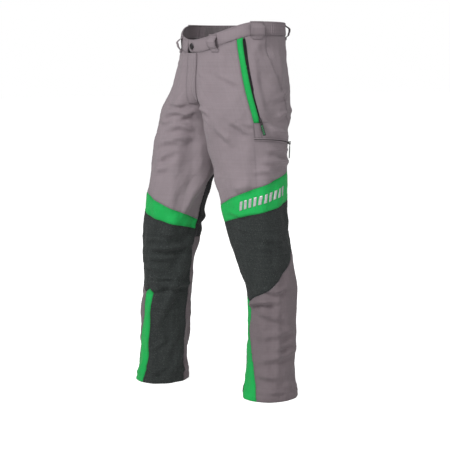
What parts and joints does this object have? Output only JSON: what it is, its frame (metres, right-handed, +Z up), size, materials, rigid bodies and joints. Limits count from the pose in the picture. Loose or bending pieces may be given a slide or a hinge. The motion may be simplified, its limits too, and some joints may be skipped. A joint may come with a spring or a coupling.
{
  "type": "chainsaw protective trousers",
  "caption": "Cut-protection work trousers in worn, striding shape: stretch panels, armoured lower legs, green knee bands, zipped vents and thigh pockets, belt loops.",
  "frame": {"origin": "centre of the footprint, at the bottom of the hems", "axes": "+Z up, the wearer faces -Y, the wearer's left side is +X"},
  "size_m": [0.4758, 0.3708, 1.0358],
  "materials": {
    "stretch_grey": "mauve grey woven stretch softshell, matt",
    "armour_dark": "dark grey green abrasion-resistant ripstop, matt",
    "signal_green": "bright green stretch cloth, matt",
    "vent_black": "black open stretch knit, matt",
    "zip_black": "black moulded coil zip",
    "dark_metal": "dark nickel, satin",
    "pull_rubber": "black moulded rubber",
    "pad_yellow": "stack of loose cut-stopping fibre layers",
    "lining_grey": "dark grey mesh lining",
    "elastic_grey": "woven elastic",
    "reflective": "silver reflective transfer, satin"
  },
  "bodies": {
    "garment": {"armour_panel_left": "armour_dark", "armour_panel_right": "armour_dark", "back_thigh_left": "vent_black", "back_thigh_right": "vent_black", "belt_loop_back_left": "stretch_grey", "belt_loop_back_right": "stretch_grey", "belt_loop_centre_back": "stretch_grey", "belt_loop_front_left": "stretch_grey", "belt_loop_front_right": "stretch_grey", "belt_loop_side_left": "stretch_grey", "belt_loop_side_right": "stretch_grey", "calf_back_left": "stretch_grey", "calf_back_right": "stretch_grey", "calf_side_left": "stretch_grey", "calf_side_right": "stretch_grey", "cargo_zip_tape_left": "zip_black", "cargo_zip_tape_right": "zip_black", "cut_protection_left": "pad_yellow", "cut_protection_right": "pad_yellow", "fly_placket": "stretch_grey", "fly_shield": "lining_grey", "fly_zip_tape": "zip_black", "front_thigh_left": "stretch_grey", "front_thigh_right": "stretch_grey", "hem_left": "stretch_grey", "hem_right": "stretch_grey", "knee_band_left": "signal_green", "knee_band_right": "signal_green", "lining_back_left": "lining_grey", "lining_back_right": "lining_grey", "lining_front_left": "lining_grey", "lining_front_right": "lining_grey", "reflective_strip": "reflective", "seat_left": "stretch_grey", "seat_right": "stretch_grey", "shin_stripe_left": "signal_green", "shin_stripe_right": "signal_green", "side_hip_left": "stretch_grey", "side_hip_right": "stretch_grey", "side_thigh_left": "stretch_grey", "side_thigh_right": "stretch_grey", "thigh_zip_tape_left": "zip_black", "thigh_zip_tape_right": "zip_black", "thigh_zip_welt_left": "signal_green", "thigh_zip_welt_right": "signal_green", "waist_elastic": "elastic_grey", "waistband_back": "stretch_grey", "waistband_left": "stretch_grey", "waistband_right": "stretch_grey"},
    "thigh_zip_left_slider": {"thigh_zip_left_slider": "dark_metal"},
    "thigh_zip_left_pull": {"thigh_zip_left_pull": "pull_rubber"},
    "cargo_zip_left_slider": {"cargo_zip_left_slider": "dark_metal"},
    "cargo_zip_left_pull": {"cargo_zip_left_pull": "pull_rubber"},
    "thigh_zip_right_slider": {"thigh_zip_right_slider": "dark_metal"},
    "thigh_zip_right_pull": {"thigh_zip_right_pull": "pull_rubber"},
    "cargo_zip_right_slider": {"cargo_zip_right_slider": "dark_metal"},
    "cargo_zip_right_pull": {"cargo_zip_right_pull": "pull_rubber"},
    "fly_zip_slider": {"fly_zip_slider": "dark_metal"},
    "waist_button": {"waist_button": "dark_metal"}
  },
  "joints": [
    {"name": "thigh_zip_left_slide", "type": "hinge", "parent": "garment", "child": "thigh_zip_left_slider", "pos_m": [0.22846, 1.03203, 1.008], "axis": [-0.9805, 0.0774, -0.1806], "range_deg": [0, 11.47]},
    {"name": "thigh_zip_left_swing", "type": "hinge", "parent": "thigh_zip_left_slider", "child": "thigh_zip_left_pull", "pos_m": [0.1948, -0.00621, 0.77334], "axis": [-0.4239, -0.863, -0.2748], "range_deg": [0, 150]},
    {"name": "cargo_zip_left_slide", "type": "hinge", "parent": "garment", "child": "cargo_zip_left_slider", "pos_m": [0.07676, 0.02808, 0.7009], "axis": [0.1642, -0.0739, -0.9837], "range_deg": [0, 66.85]},
    {"name": "cargo_zip_left_swing", "type": "hinge", "parent": "cargo_zip_left_slider", "child": "cargo_zip_left_pull", "pos_m": [0.15986, 0.11949, 0.70694], "axis": [0.7234, -0.669, 0.171], "range_deg": [0, 150]},
    {"name": "thigh_zip_right_slide", "type": "hinge", "parent": "garment", "child": "thigh_zip_right_slider", "pos_m": [-0.56081, 2.07725, 0.69317], "axis": [-0.9653, -0.1602, 0.2062], "range_deg": [0, 5.63]},
    {"name": "thigh_zip_right_swing", "type": "hinge", "parent": "thigh_zip_right_slider", "child": "thigh_zip_right_pull", "pos_m": [-0.19472, -0.05646, 0.7742], "axis": [-0.4626, 0.8861, 0.0289], "range_deg": [0, 150]},
    {"name": "cargo_zip_right_slide", "type": "hinge", "parent": "garment", "child": "cargo_zip_right_slider", "pos_m": [-0.08747, -0.04753, 0.70247], "axis": [0.1672, 0.0766, 0.9829], "range_deg": [0, 70.71]},
    {"name": "cargo_zip_right_swing", "type": "hinge", "parent": "cargo_zip_right_slider", "child": "cargo_zip_right_pull", "pos_m": [-0.15877, 0.04016, 0.70625], "axis": [0.7598, 0.6254, -0.178], "range_deg": [0, 150]},
    {"name": "fly_zip_slide", "type": "hinge", "parent": "garment", "child": "fly_zip_slider", "pos_m": [-0.00002, 0.53056, 0.91472], "axis": [1, 0, 0], "range_deg": [0, 6.78]},
    {"name": "waist_button_turn", "type": "hinge", "parent": "garment", "child": "waist_button", "pos_m": [-0.00002, -0.0961, 0.971], "axis": [0, -1, 0], "continuous": true}
  ]
}
